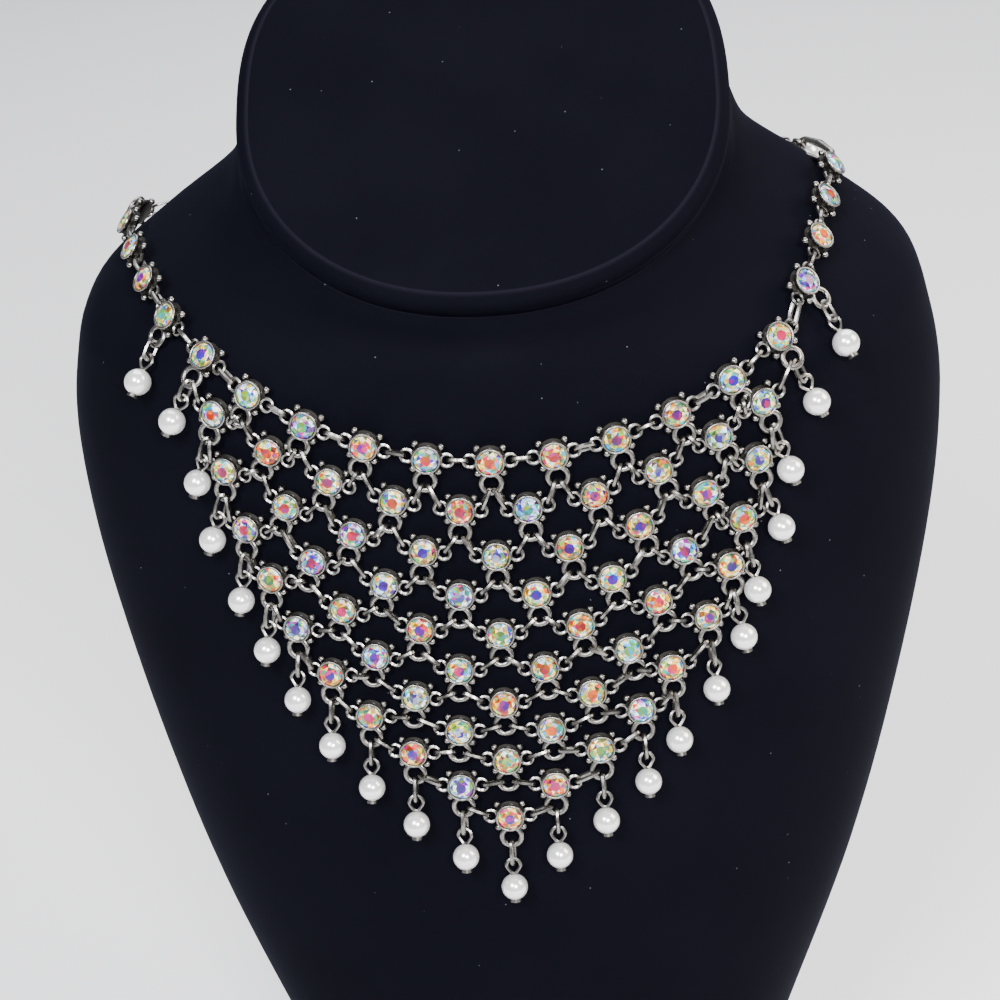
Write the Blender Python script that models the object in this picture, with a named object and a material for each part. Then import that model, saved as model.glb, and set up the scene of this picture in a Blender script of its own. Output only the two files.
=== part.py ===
"""A rhinestone and pearl bib necklace, worn by a plain velvet neck bust."""
import math

import bmesh
import bpy
from mathutils import Matrix, Vector
from mathutils.bvhtree import BVHTree

# Driving dimensions of the bust, in metres and degrees.
torso_height = 0.265
shoulder_half_width = 0.1030
chest_half_depth = 0.0605
bust_lean = 0.058
neck_tilt = 42.0
front_roundness = 2.15
back_roundness = 3.2
cap_thickness = 0.0055
cap_edge_round = 0.0030
piece_gap = 0.0003

# Driving dimensions of the bib's field of stones. Its top is at a share of torso_height.
row_count = 11
bib_half_width = 0.0609
bib_height = 0.101
bib_top_share = 0.8485
bib_side_shift = -0.0001
bib_askew = 0.9
velvet_gap = 0.0004

# Driving dimensions of one stone in its cup, its wires, rings and drops.
cup_radius = 0.0031
cup_height = 0.0030
stone_rise = 0.0007
table_radius = 0.0014
wire_radius = 0.00055
wire_height = 0.0020
ring_reach = 0.0053
ring_mid_radius = 0.0022
ring_wire_radius = 0.0005
link_wire_radius = 0.00035
link_half_width = 0.0013
end_turn_share = 0.45
end_turn_step = 0.27
drop_length = 0.0118
pearl_radius = 0.0030
chain_pitch = 0.0134
chain_turn_out = 18.0
chain_drop_lean = 3.0
chain_loop_reach = 0.0055
clasp_length = 0.0134
clasp_half_width = 0.0016
clasp_wire_radius = 0.0005
extender_radius = 0.0013
extender_height = 0.0021
end_pearl_hang = (0.0030, 0.0050, -0.0030)

bust_sides = 28
bust_rings = 18
fine_sides = 120
fine_rings = 70
flat_angle = 0.1

# Sections of the bust from its base up to the neck's rim, as shares of the
# sizes above: height of torso_height, width of shoulder_half_width, centre of
# bust_lean, front and back of chest_half_depth, tilt of neck_tilt.
bust_sections = (
    # height, width, centre, front, back, tilt
    (0.000, 0.485, 0.51, 0.890, 0.62, 0.00),
    (0.170, 0.648, 0.59, 0.974, 0.60, 0.00),
    (0.321, 0.790, 0.68, 0.998, 0.58, 0.00),
    (0.472, 0.897, 0.80, 1.015, 0.58, 0.00),
    (0.623, 0.978, 0.93, 1.000, 0.56, 0.00),
    (0.736, 1.000, 0.99, 0.967, 0.56, 0.05),
    (0.811, 0.972, 0.985, 0.934, 0.57, 0.14),
    (0.860, 0.920, 0.966, 0.901, 0.57, 0.25),
    (0.898, 0.780, 0.950, 0.876, 0.59, 0.38),
    (0.932, 0.612, 0.936, 0.851, 0.64, 0.56),
    (0.966, 0.550, 0.924, 0.836, 0.73, 0.80),
    (0.985, 0.537, 0.914, 0.834, 0.79, 0.93),
    (1.000, 0.534, 0.910, 0.833, 0.82, 1.00),
)

# The rows of stones from the top down: half width as a share of
# bib_half_width, how far the row's ends and its middle hang below the bib's
# top corners as shares of bib_height, and how many degrees the drop on each
# end stone is pushed outward by the row below it.
bib_rows = (
    # half width, ends, middle, drop's lean
    (1.004, 0.013, 0.197, 23),
    (0.974, 0.113, 0.308, 17),
    (0.952, 0.236, 0.408, 16),
    (0.893, 0.365, 0.497, 6),
    (0.816, 0.474, 0.582, 5),
    (0.732, 0.581, 0.664, 0),
    (0.619, 0.680, 0.738, 0),
    (0.487, 0.771, 0.803, 0),
    (0.337, 0.852, 0.867, 0),
    (0.169, 0.927, 0.928, 0),
    (0.000, 1.000, 1.000, 0),
)

# Hand-chosen points of the necklace's way from the bib's left corner over the
# shoulder, round the back of the neck and over the right shoulder, beside the
# bust's middle plane. They are shares of shoulder_half_width, bust_lean and
# torso_height, and are laid on the velvet.
neck_route = (
    # across, back, up
    (-0.680, 0.474, 0.869), (-0.748, 0.714, 0.887), (-0.796, 0.966, 0.900), (-0.830, 1.172, 0.909),
    (-0.843, 1.362, 0.909), (-0.748, 1.517, 0.915), (-0.583, 1.578, 0.930), (-0.398, 1.603, 0.940),
    (-0.194, 1.647, 0.943), (0.000, 1.655, 0.943), (0.194, 1.647, 0.943), (0.398, 1.603, 0.940),
    (0.615, 1.517, 0.927), (0.712, 1.345, 0.922), (0.735, 1.103, 0.915), (0.718, 0.895, 0.907),
    (0.694, 0.666, 0.890), (0.646, 0.429, 0.866),
)
left_stones = 5
right_stones = 4
extender_steps = 24


def clear_scene():
    for old in list(bpy.data.objects):
        bpy.data.objects.remove(old, do_unlink=True)


def material(name, color, roughness, metallic):
    made = bpy.data.materials.new(name)
    made.use_nodes = True
    shader = made.node_tree.nodes["Principled BSDF"]
    shader.inputs["Base Color"].default_value = (*color, 1)
    shader.inputs["Roughness"].default_value = roughness
    shader.inputs["Metallic"].default_value = metallic
    return made


def new_collection(name):
    made = bpy.data.collections.new(name)
    bpy.context.scene.collection.children.link(made)
    return made


def add_object(name, data, collection, finish=None):
    made = bpy.data.objects.new(name, data)
    collection.objects.link(made)
    if finish:
        data.materials.append(finish)
    return made


def mesh_from(name, bm):
    bmesh.ops.recalc_face_normals(bm, faces=bm.faces)
    mesh = bpy.data.meshes.new(name)
    bm.to_mesh(mesh)
    bm.free()
    return mesh


# The bust's surface.

def spline(rows, place):
    """A row of the table read between its rows, along a smooth curve."""
    low = min(int(place), len(rows) - 2)
    part = place - low
    before = rows[max(low - 1, 0)]
    after = rows[min(low + 2, len(rows) - 1)]
    read = []
    for a, b, c, d in zip(before, rows[low], rows[low + 1], after):
        slope_in = (c - a) / 2
        slope_out = (d - b) / 2
        read.append((2 * part ** 3 - 3 * part ** 2 + 1) * b + (part ** 3 - 2 * part ** 2 + part) * slope_in
                    + (3 * part ** 2 - 2 * part ** 3) * c + (part ** 3 - part ** 2) * slope_out)
    return read


def section_ring(place, sides):
    height, width, centre, front, back, tilt = spline(bust_sections, place)
    angle = math.radians(tilt * neck_tilt)
    ring = []
    for step in range(sides):
        turn = 2 * math.pi * step / sides
        across = math.cos(turn)
        along = math.sin(turn)
        squarer = (back_roundness - front_roundness) * (1 - tilt / 2)
        roundness = front_roundness if along < 0 else front_roundness + squarer
        depth = (front if along < 0 else back) * chest_half_depth
        x = math.copysign(abs(across) ** (2 / roundness), across) * width * shoulder_half_width
        reach = math.copysign(abs(along) ** (2 / roundness), along) * depth
        ring.append(Vector((x, centre * bust_lean + reach * math.cos(angle),
                            height * torso_height + reach * math.sin(angle))))
    return ring


def bust_bmesh(ring_count, sides):
    bm = bmesh.new()
    rings = []
    for step in range(ring_count):
        place = (len(bust_sections) - 1) * step / (ring_count - 1)
        rings.append([bm.verts.new(point) for point in section_ring(place, sides)])
    for lower, upper in zip(rings, rings[1:]):
        for step in range(sides):
            after = (step + 1) % sides
            bm.faces.new((lower[step], lower[after], upper[after], upper[step]))
    bm.faces.new(rings[0])
    bm.faces.new(rings[-1])
    bmesh.ops.recalc_face_normals(bm, faces=bm.faces)
    return bm


def nearest(point):
    """The velvet's surface nearest to a point, with its normal averaged round it."""
    spot, normal, _, _ = velvet.find_nearest(point)
    reach = cup_radius * 1.5
    side = normal.orthogonal().normalized()
    for turn in range(4):
        ray = Matrix.Rotation(turn * math.pi / 2, 3, normal) @ side
        normal_there = velvet.find_nearest(spot + ray * reach)[1]
        normal = normal + normal_there * 0.5
    return spot, normal.normalized()


def front_of_bust(x, z):
    hit = velvet.ray_cast(Vector((x, -1, z)), Vector((0, 1, 0)))[0]
    return nearest(hit)


# Places of the stones: each is a matrix whose X runs along the row, Y up the
# row's other way and Z out of the velvet.

def seat(spot, normal, along):
    along = (along - normal * along.dot(normal)).normalized()
    up = normal.cross(along)
    frame = Matrix((along, up, normal)).transposed().to_4x4()
    frame.translation = spot + normal * velvet_gap
    return frame


def line_length(points):
    return sum((b - a).length for a, b in zip(points, points[1:]))


def places_along(points, distances):
    """The places at some distances along a line of points."""
    placed = []
    for left in distances:
        for a, b in zip(points, points[1:]):
            step = (b - a).length
            if left <= step:
                break
            left -= step
        placed.append(a.lerp(b, min(left / step, 1)))
    return placed


def bib_spot(across, drop):
    """A place on the bib, from its top's middle: the whole bib hangs a little askew."""
    turn = math.radians(bib_askew)
    x = bib_side_shift + across * math.cos(turn) - drop * math.sin(turn)
    z = bib_top_share * torso_height - across * math.sin(turn) - drop * math.cos(turn)
    return front_of_bust(x, z)


def row_seats(row):
    width, ends, middle, _ = bib_rows[row]
    count = row_count - row
    half = width * bib_half_width
    sag = (middle - ends) * bib_height
    if count == 1:
        spot, normal = bib_spot(0, middle * bib_height)
        return [seat(spot, normal, Vector((1, 0, 0)))]
    line = []
    samples = 60
    for step in range(samples + 1):
        share = 2 * step / samples - 1
        line.append(bib_spot(half * share, middle * bib_height - sag * share ** 2)[0])
    pitch = line_length(line) / (count - 1)
    spots = [nearest(point) for point in places_along(line, [pitch * index for index in range(count)])]
    seats = []
    for index, (spot, normal) in enumerate(spots):
        before = spots[max(index - 1, 0)][0]
        after = spots[min(index + 1, count - 1)][0]
        along = (after - before).normalized()
        if index in (0, count - 1):
            # An end stone turns less with its row, because its drop pulls it straight.
            along = Vector((1, 0, 0)).lerp(along, max(end_turn_share, 1 - row * end_turn_step))
        seats.append(seat(spot, normal, along))
    return seats


def neck_line(steps=8):
    """The necklace's way round the neck on the velvet, from one corner of the bib to the other."""
    points = [Vector((across * shoulder_half_width, back * bust_lean, up * torso_height))
              for across, back, up in neck_route]
    line = [bib_seats[0][0].translation]
    for place in range((len(points) - 1) * steps + 1):
        line.append(nearest(Vector(spline(points, place / steps)))[0])
    return line + [bib_seats[0][-1].translation]


def chain_seats(line, count, side):
    """Stones at chain_pitch along a neck chain, from the bib's corner on."""
    distances = [chain_pitch * number for number in range(1, count + 1)]
    spots = [nearest(point) for point in places_along(line, distances)]
    seats = []
    for index, (spot, normal) in enumerate(spots):
        before = spots[index - 1][0] if index else line[0]
        after = spots[index + 1][0] if index + 1 < count else spot * 2 - before
        turn = math.radians(chain_turn_out)
        away = Matrix.Rotation(side * turn, 3, after - before) @ normal
        frame = seat(spot, away, (after - before) * side)
        frame.translation += normal * ring_reach * math.sin(turn)
        seats.append(frame)
    return seats


# Pieces of metal and stone.

def cup_mesh():
    """A cup with its cut stone: a wall, a ring of crown facets and a table."""
    bm = bmesh.new()
    wall = bmesh.ops.create_cone(bm, cap_ends=True, segments=8, radius1=cup_radius, radius2=cup_radius,
                                 depth=cup_height)
    bmesh.ops.translate(bm, verts=wall["verts"], vec=(0, 0, cup_height / 2))
    bmesh.ops.rotate(bm, verts=bm.verts, cent=(0, 0, 0), matrix=Matrix.Rotation(math.pi / 8, 3, "Z"))
    top = [face for face in bm.faces if face.calc_center_median().z > cup_height * 0.99]
    table = bmesh.ops.extrude_face_region(bm, geom=top)
    verts = [item for item in table["geom"] if isinstance(item, bmesh.types.BMVert)]
    bmesh.ops.delete(bm, geom=top, context="FACES_ONLY")
    for vert in verts:
        vert.co = Vector((*(vert.co.xy.normalized() * table_radius), cup_height + stone_rise))
    return mesh_from("cup", bm)


def wire_section():
    """Five-sided section that the fine wires are drawn with."""
    curve = bpy.data.curves.new("wire_section", "CURVE")
    spline_points = curve.splines.new("POLY")
    spline_points.points.add(4)
    for index, point in enumerate(spline_points.points):
        turn = 2 * math.pi * index / 5
        point.co = (math.cos(turn), math.sin(turn), 0, 1)
    spline_points.use_cyclic_u = True
    guide = add_object("wire_section", curve, guides)
    guide.hide_render = True
    guide.display_type = "WIRE"
    return guide


def wire_object(name, points, radius, collection, closed=False, resolution=None):
    """A wire along points as a mesh: five-sided, or round where a resolution is given."""
    curve = bpy.data.curves.new(name, "CURVE")
    curve.dimensions = "3D"
    if resolution is None:
        curve.bevel_mode = "OBJECT"
        curve.bevel_object = section
    else:
        curve.bevel_depth = radius
        curve.bevel_resolution = resolution
    curve.use_fill_caps = not closed
    path = curve.splines.new("POLY")
    path.points.add(len(points) - 1)
    for place, point in zip(path.points, points):
        place.co = (*point, 1)
        place.radius = radius if resolution is None else 1
    path.use_cyclic_u = closed
    drawn = add_object(name + "_curve", curve, collection)
    bpy.context.view_layer.update()
    mesh = bpy.data.meshes.new_from_object(drawn.evaluated_get(bpy.context.evaluated_depsgraph_get()))
    bpy.data.objects.remove(drawn, do_unlink=True)
    bm = bmesh.new()
    bm.from_mesh(mesh)
    bmesh.ops.remove_doubles(bm, verts=bm.verts, dist=1e-6)
    return add_object(name, mesh_from(name, bm), collection)


def torus_object(name, frame, centre, radius, tube, collection):
    bpy.ops.mesh.primitive_torus_add(major_segments=10, minor_segments=5, major_radius=radius,
                                     minor_radius=tube)
    ring = bpy.context.object
    ring.name = name
    for owner in list(ring.users_collection):
        owner.objects.unlink(ring)
    collection.objects.link(ring)
    ring.data.transform(frame @ Matrix.Translation(centre))
    return ring


def cup_object(name, frame, mesh, collection):
    cup = add_object(name, mesh.copy(), collection)
    cup.data.transform(frame)
    return cup


def fuse(name, pieces, finish, keep):
    """One body from pieces that overlap."""
    first, rest = pieces[0], pieces[1:]
    operands = bpy.data.collections.new(name + "_pieces")
    bpy.context.scene.collection.children.link(operands)
    for piece in rest:
        operands.objects.link(piece)
    union = first.modifiers.new("fuse", "BOOLEAN")
    union.operation = "UNION"
    union.solver = "EXACT"
    union.operand_type = "COLLECTION"
    union.collection = operands
    bpy.context.view_layer.update()
    mesh = bpy.data.meshes.new_from_object(first.evaluated_get(bpy.context.evaluated_depsgraph_get()))
    for piece in pieces:
        bpy.data.objects.remove(piece, do_unlink=True)
    bpy.data.collections.remove(operands)
    bm = bmesh.new()
    bm.from_mesh(mesh)
    bmesh.ops.dissolve_limit(bm, angle_limit=math.radians(flat_angle), use_dissolve_boundaries=False,
                             verts=bm.verts, edges=bm.edges)
    return add_object(name, mesh_from(name, bm), keep, finish)


def at(frame, x, y, z):
    return frame @ Vector((x, y, z))


def ring_centre(frame):
    return at(frame, 0, -ring_reach, wire_height)


def half_ring(tip, back, side, half_width):
    """Six points round the end of a loop, whose tip points away from back."""
    points = []
    for step in range(6):
        turn = math.pi * (step / 5 - 0.5)
        points.append(tip + side * (half_width * math.sin(turn)) + back * (half_width * (1 - math.cos(turn))))
    return points


def link_hold():
    """How far a link's own wire lies past the wire of the ring that it holds."""
    return ring_wire_radius + link_wire_radius + piece_gap * 1.3


def hook(ring_normal, centre, target):
    """Where a loop that runs to target holds the ring round centre: its tip, the way
    back to the target and the side that it opens to, square to the ring's wire."""
    away = target - centre
    away = (away - ring_normal * away.dot(ring_normal)).normalized()
    held = centre + away * ring_mid_radius
    back = (target - held).normalized()
    side = ring_normal.cross(away).cross(back).normalized()
    return held - back * link_hold(), back, side


def wire_loop(name, ring_normal, centre, root):
    """A wire loop through the ring round centre, both legs ending at root."""
    tip, back, side = hook(ring_normal, centre, root)
    foot = side * (link_half_width * 0.6)
    path = [root - foot] + half_ring(tip, back, side, link_half_width) + [root + foot]
    return wire_object(name, path, link_wire_radius, drafts)


def pearl_on_loop(name, ring_normal, centre, pearl_centre):
    """A pearl whose wire loop holds the ring round centre."""
    hang = (pearl_centre - centre).normalized()
    loop = wire_loop(name + "_loop", ring_normal, centre, pearl_centre - hang * (pearl_radius * 0.7))
    bm = bmesh.new()
    bmesh.ops.create_icosphere(bm, subdivisions=2, radius=pearl_radius)
    turn = hang.to_track_quat("Z", "Y").to_matrix().to_4x4()
    turn.translation = pearl_centre
    bmesh.ops.transform(bm, matrix=turn, verts=bm.verts)
    pearl = add_object(name + "_pearl", mesh_from(name, bm), drafts)
    return fuse(name, [pearl, loop], pearl_finish, model)


def pearl_drop(name, frame, lean):
    """A pearl that hangs by its wire loop from a stone's lower ring, leaning outward."""
    centre = ring_centre(frame)
    _, normal = nearest(centre)
    outward = math.copysign(math.radians(lean), centre.x)
    down = Vector((math.sin(outward), 0, -math.cos(outward)))
    down = (down - normal * down.dot(normal)).normalized()
    surface, pearl_normal = nearest(centre + down * drop_length)
    pearl_centre = surface + pearl_normal * (pearl_radius + velvet_gap)
    return pearl_on_loop(name, frame.col[2].xyz, centre, pearl_centre)


def ring_object(name, frame, x, y):
    return torus_object(name, frame, (x, y, wire_height), ring_mid_radius, ring_wire_radius, drafts)


def stone_net():
    """The bib: every stone's cup, the wires between rows and the drops' rings, fused."""
    pieces = []
    for row, seats in enumerate(bib_seats):
        for index, frame in enumerate(seats):
            pieces.append(cup_object(f"cup_{row}_{index}", frame, cup, drafts))
            if index in (0, len(seats) - 1):
                pieces.append(ring_object(f"ring_{row}_{index}", frame, 0, -ring_reach))
            if row:
                for above in bib_seats[row - 1][index:index + 2]:
                    ends = [at(frame, 0, 0, wire_height), at(above, 0, -cup_radius * 0.4, wire_height)]
                    pieces.append(wire_object("row_wire", ends, wire_radius, drafts))
    for corner, side in ((bib_seats[0][0], -1), (bib_seats[0][-1], 1)):
        pieces.append(ring_object("corner_ring", corner, side * ring_reach, 0))
    top_wire = [at(frame, 0, 0, wire_height) for frame in bib_seats[0]]
    pieces.append(wire_object("top_wire", top_wire, wire_radius, drafts))
    return fuse("stone_net", pieces, silver_finish, model)


def stone_chain(name, corner, seats, side):
    """A neck chain: its stones on one wire, looped to the bib's corner ring."""
    pieces = []
    for index, frame in enumerate(seats):
        pieces.append(cup_object(f"{name}_cup_{index}", frame, cup, drafts))
    pieces.append(ring_object(name + "_drop_ring", seats[0], 0, -ring_reach))
    pieces.append(ring_object(name + "_end_ring", seats[-1], side * ring_reach, 0))
    pieces.append(wire_object(name + "_wire", [at(frame, 0, 0, wire_height) for frame in seats],
                              wire_radius, drafts))
    centre = at(corner, side * ring_reach, 0, wire_height)
    root = at(seats[0], -side * cup_radius * 0.5, 0, wire_height)
    pieces.append(wire_loop(name + "_loop", corner.col[2].xyz, centre, root))
    return fuse(name, pieces, silver_finish, model)


def hook_clasp(start_normal, start, end_normal, end):
    """The clasp, a plain long loop through the two rings round start and end."""
    points = []
    for normal, centre, target in ((start_normal, start, end), (end_normal, end, start)):
        tip, back, side = hook(normal, centre, target)
        points += half_ring(tip, back, side, clasp_half_width)
    loop = wire_object("hook_clasp", points, clasp_wire_radius, model, closed=True)
    loop.data.materials.append(silver_finish)
    return loop


def back_chain():
    """The plain chain round the back of the neck, from the left chain to the clasp."""
    ring_step = extender_radius + ring_mid_radius * 0.6
    start = left_stones * chain_pitch + ring_reach + chain_loop_reach
    end = line_length(neck_way) - right_stones * chain_pitch - ring_reach - clasp_length - ring_step
    distances = [start + (end - start) * step / extender_steps for step in range(extender_steps + 1)]
    route = [nearest(point) for point in places_along(neck_way, distances)]
    line = [spot + normal * (velvet_gap + extender_height) for spot, normal in route]
    last = left_seats[-1]
    pieces = [wire_object("chain_tube", line, extender_radius, drafts, resolution=2)]
    pieces.append(wire_loop("chain_loop", last.col[2].xyz, at(last, -ring_reach, 0, wire_height),
                            line[0].lerp(line[1], 0.3)))
    frame = seat(route[-1][0], route[-1][1], line[-1] - line[-2])
    pieces.append(ring_object("chain_ring", frame, ring_step, 0))
    fuse("back_chain", pieces, silver_finish, model)
    return frame.col[2].xyz, at(frame, ring_step, 0, wire_height)


def end_pearl(ring_normal, ring):
    """The pearl at the chain's free end, over the shoulder's crest."""
    spot, normal = nearest(ring + Vector(end_pearl_hang))
    pearl_on_loop("end_pearl", ring_normal, ring, spot + normal * (pearl_radius + velvet_gap))


def bust():
    made = add_object("neck_bust", mesh_from("neck_bust", bust_bmesh(bust_rings, bust_sides)), model,
                      velvet_finish)
    made.data.shade_smooth()
    return made


def neck_cap():
    """The oval board, round at its edge, that closes the neck."""
    ring = section_ring(len(bust_sections) - 1, bust_sides)
    angle = math.radians(neck_tilt)
    up = Vector((0, -math.sin(angle), math.cos(angle)))
    bm = bmesh.new()
    bm.faces.new([bm.verts.new(point + up * piece_gap) for point in ring])
    raised = bmesh.ops.extrude_face_region(bm, geom=bm.faces[:])
    verts = [item for item in raised["geom"] if isinstance(item, bmesh.types.BMVert)]
    bmesh.ops.translate(bm, verts=verts, vec=up * cap_thickness)
    top = [item for item in raised["geom"] if isinstance(item, bmesh.types.BMFace)]
    bmesh.ops.bevel(bm, geom=list(top[0].edges), offset=cap_edge_round, offset_type="OFFSET", segments=2,
                    profile=0.5, affect="EDGES", material=-1)
    made = add_object("neck_cap", mesh_from("neck_cap", bm), model, velvet_finish)
    made.data.shade_smooth()
    return made


clear_scene()
model = new_collection("bib_necklace_on_bust")
drafts = new_collection("drafts")
guides = new_collection("guides")
velvet_finish = material("black_velvet", (0.012, 0.013, 0.018), 0.95, 0.0)
silver_finish = material("antiqued_silver", (0.55, 0.54, 0.52), 0.32, 1.0)
pearl_finish = material("pearl", (0.86, 0.85, 0.83), 0.25, 0.0)
section = wire_section()

fine = bust_bmesh(fine_rings, fine_sides)
velvet = BVHTree.FromBMesh(fine)
fine.free()

cup = cup_mesh()
bib_seats = [row_seats(row) for row in range(row_count)]
neck_way = neck_line()
left_seats = chain_seats(neck_way, left_stones, -1)
right_seats = chain_seats(neck_way[::-1], right_stones, 1)
bust()
neck_cap()
stone_net()
stone_chain("stone_chain_left", bib_seats[0][0], left_seats, -1)
stone_chain("stone_chain_right", bib_seats[0][-1], right_seats, 1)
hangers = [(seats[0], bib_rows[row][3]) for row, seats in enumerate(bib_seats)]
hangers += [(seats[-1], bib_rows[row][3]) for row, seats in reversed(list(enumerate(bib_seats[:-1])))]
hangers += [(left_seats[0], chain_drop_lean), (right_seats[0], chain_drop_lean)]
for number, (frame, lean) in enumerate(hangers, 1):
    pearl_drop(f"pearl_drop_{number:02d}", frame, lean)

chain_normal, chain_end = back_chain()
right_last = right_seats[-1]
right_ring = at(right_last, ring_reach, 0, wire_height)
hook_clasp(right_last.col[2].xyz, right_ring, chain_normal, chain_end)
end_pearl(chain_normal, chain_end)

bpy.context.view_layer.update()
corners = [piece.matrix_world @ Vector(corner) for piece in model.objects for corner in piece.bound_box]
holder = bpy.data.objects.new("holder", None)
guides.objects.link(holder)
holder.location.x = -(min(c.x for c in corners) + max(c.x for c in corners)) / 2
holder.location.y = -(min(c.y for c in corners) + max(c.y for c in corners)) / 2
for piece in model.objects:
    piece.parent = holder
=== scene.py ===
import math
import random

import bmesh
import bpy
from mathutils import Matrix, Vector
from mathutils.bvhtree import BVHTree


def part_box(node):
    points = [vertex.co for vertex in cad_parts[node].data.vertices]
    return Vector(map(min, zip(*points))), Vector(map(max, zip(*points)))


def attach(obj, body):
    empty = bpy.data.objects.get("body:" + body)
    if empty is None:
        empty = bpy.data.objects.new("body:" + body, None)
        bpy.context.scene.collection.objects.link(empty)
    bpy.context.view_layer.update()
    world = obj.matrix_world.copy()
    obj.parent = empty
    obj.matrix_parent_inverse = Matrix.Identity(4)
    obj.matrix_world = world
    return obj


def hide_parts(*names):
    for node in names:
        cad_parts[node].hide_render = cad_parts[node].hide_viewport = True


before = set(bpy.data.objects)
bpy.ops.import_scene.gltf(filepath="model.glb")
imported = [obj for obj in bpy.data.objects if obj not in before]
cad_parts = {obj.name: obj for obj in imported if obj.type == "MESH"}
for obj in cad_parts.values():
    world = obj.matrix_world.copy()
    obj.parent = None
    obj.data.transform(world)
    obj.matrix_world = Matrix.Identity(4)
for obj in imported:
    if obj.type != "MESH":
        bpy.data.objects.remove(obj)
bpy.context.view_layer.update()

mm = 0.001
draw = random.Random(11)

# The bust, in metres: the same sections as the solid's, from the base up to the neck's rim.
bust = {
    "height": 0.265, "halfWidth": 0.103, "halfDepth": 0.0605, "lean": 0.058, "neckTilt": 42,
    "frontRound": 2.15, "backRound": 3.2, "around": 144, "up": 84, "baseEdge": 0.0012,
    "wornAndSheenRim": 0.6,  # how pale the velvet is along the neck's rim: partly wear, partly painted sheen
    "sharp": 40,
    "sections": (
        # height, width, centre, front, back, tilt
        (0.000, 0.485, 0.510, 0.890, 0.62, 0.00),
        (0.170, 0.648, 0.590, 0.974, 0.60, 0.00),
        (0.321, 0.790, 0.680, 0.998, 0.58, 0.00),
        (0.472, 0.897, 0.800, 1.015, 0.58, 0.00),
        (0.623, 0.978, 0.930, 1.000, 0.56, 0.00),
        (0.736, 1.000, 0.990, 0.967, 0.56, 0.05),
        (0.811, 0.972, 0.985, 0.934, 0.57, 0.14),
        (0.860, 0.920, 0.966, 0.901, 0.57, 0.25),
        (0.898, 0.780, 0.950, 0.876, 0.59, 0.38),
        (0.932, 0.612, 0.936, 0.851, 0.64, 0.56),
        (0.966, 0.550, 0.924, 0.836, 0.73, 0.80),
        (0.985, 0.537, 0.914, 0.834, 0.79, 0.93),
        (1.000, 0.534, 0.910, 0.833, 0.82, 1.00),
    ),
}


def readBetween(rows, place):
    # a smooth curve through the rows of a table
    low = min(int(place), len(rows) - 2)
    part = place - low
    before = rows[max(low - 1, 0)]
    after = rows[min(low + 2, len(rows) - 1)]
    read = []
    for a, b, c, d in zip(before, rows[low], rows[low + 1], after):
        slopeIn = (c - a) / 2
        slopeOut = (d - b) / 2
        read.append((2 * part ** 3 - 3 * part ** 2 + 1) * b + (part ** 3 - 2 * part ** 2 + part) * slopeIn
                    + (3 * part ** 2 - 2 * part ** 3) * c + (part ** 3 - part ** 2) * slopeOut)
    return read


def bustPoint(place, turn):
    height, width, centre, front, back, tilt = readBetween(bust["sections"], place)
    angle = math.radians(tilt * bust["neckTilt"])
    across = math.cos(turn)
    along = math.sin(turn)
    squarer = (bust["backRound"] - bust["frontRound"]) * (1 - tilt / 2)
    power = 2 / (bust["frontRound"] if along < 0 else bust["frontRound"] + squarer)
    depth = (front if along < 0 else back) * bust["halfDepth"]
    x = math.copysign(abs(across) ** power, across) * width * bust["halfWidth"]
    reach = math.copysign(abs(along) ** power, along) * depth
    return Vector((x, centre * bust["lean"] + reach * math.cos(angle),
                   height * bust["height"] + reach * math.sin(angle)))


# The solid was moved so that its box is centred: its lowest front edge says how far.
sole = [vert.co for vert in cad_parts["neck_bust"].data.vertices if vert.co.z < 0.1 * mm]
homeShift = Vector((sum(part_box("neck_bust")[end][0] for end in (0, 1)) / 2,
                    min(co.y for co in sole) - bustPoint(0, -math.pi / 2).y, 0))


def newMesh(name, bm):
    bmesh.ops.recalc_face_normals(bm, faces=bm.faces)
    mesh = bpy.data.meshes.new(name)
    bm.to_mesh(mesh)
    bm.free()
    return mesh


def newPiece(name, mesh, finish, slot, *replaced):
    piece = bpy.data.objects.new(name, mesh)
    bpy.context.scene.collection.objects.link(piece)
    mesh.materials.clear()
    mesh.materials.append(finish)
    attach(piece, "root")
    if replaced:
        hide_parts(*replaced)


def rolledSheet():
    # a flat grid rolled round the bust's sections and closed along its seam
    bm = bmesh.new()
    bmesh.ops.create_grid(bm, x_segments=bust["around"], y_segments=bust["up"], size=0.5)
    for vert in bm.verts:
        place = (len(bust["sections"]) - 1) * min(max(vert.co.y + 0.5, 0), 1)
        vert.co = bustPoint(place, 2 * math.pi * (vert.co.x + 0.5)) + homeShift
    bmesh.ops.remove_doubles(bm, verts=bm.verts, dist=1e-6)
    bmesh.ops.holes_fill(bm, edges=[edge for edge in bm.edges if edge.is_boundary], sides=0)
    bmesh.ops.recalc_face_normals(bm, faces=bm.faces)
    return bm


roll = rolledSheet()
velvetTree = BVHTree.FromBMesh(roll)

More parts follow.
